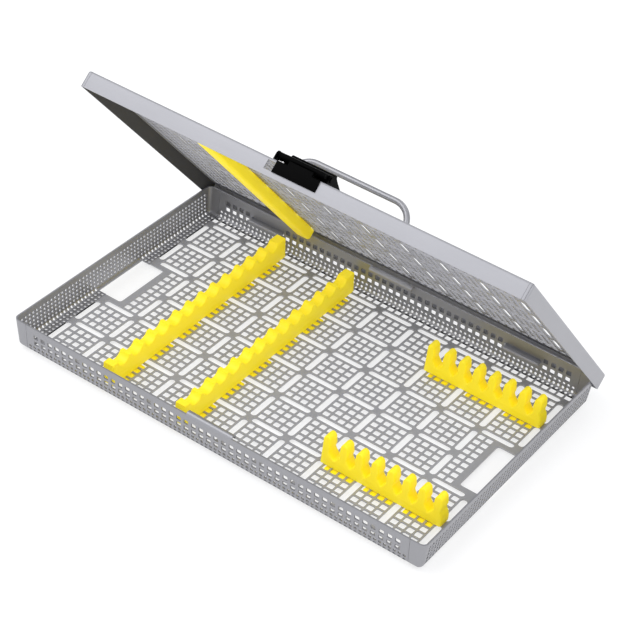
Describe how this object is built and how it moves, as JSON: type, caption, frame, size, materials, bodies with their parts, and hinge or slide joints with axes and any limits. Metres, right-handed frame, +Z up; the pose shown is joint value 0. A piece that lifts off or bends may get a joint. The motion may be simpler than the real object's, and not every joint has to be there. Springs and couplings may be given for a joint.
{
  "type": "sterilization container",
  "caption": "Shallow perforated steel instrument tray with a hinged lid, wire handle, sprung latch and soft holding bars.",
  "frame": {"origin": "bottom centre of the whole part's bounding box at rest, on the surface it stands on", "axes": "+X along the tray to the right, +Y from the latch side to the hinge side, +Z up"},
  "size_m": [0.2756, 0.1822, 0.1522],
  "materials": {
    "steel": "fine satin",
    "polished_steel": "polished",
    "silicone": "smooth satin",
    "black": "satin"
  },
  "bodies": {
    "tray": {"tray_floor": "steel", "tray_floor_left": "steel", "tray_floor_right": "steel", "tray_left_wall": "steel", "tray_right_wall": "steel", "tray_front_wall": "steel", "tray_rear_wall": "steel", "long_bar_left": "silicone", "long_bar_right": "silicone", "short_bar_rear": "silicone", "short_bar_front": "silicone"},
    "lid": {"lid_panel": "steel", "lid_front_flange": "steel", "lid_rear_flange": "steel", "lid_left_flange": "steel", "lid_right_flange": "steel", "hinge_tongue_left": "steel", "hinge_tongue_right": "steel", "lid_handle": "polished_steel", "lid_bar": "silicone", "latch_bracket": "steel", "latch_plate": "black", "latch_pin": "polished_steel", "latch_spring": "polished_steel"},
    "latch": {"latch_lever": "black", "latch_hook": "steel"}
  },
  "joints": [
    {"name": "lid_hinge", "type": "hinge", "parent": "tray", "child": "lid", "pos_m": [0, 0.08181, 0.0122], "axis": [-1, 0, 0], "range_deg": [-48, 48]},
    {"name": "latch_pivot", "type": "hinge", "parent": "lid", "child": "latch", "pos_m": [0, -0.01988, 0.1459], "axis": [1, 0, 0], "range_deg": [0, 20], "stiffness_Nm_per_rad": 0.05, "springref_deg": -20.05}
  ]
}
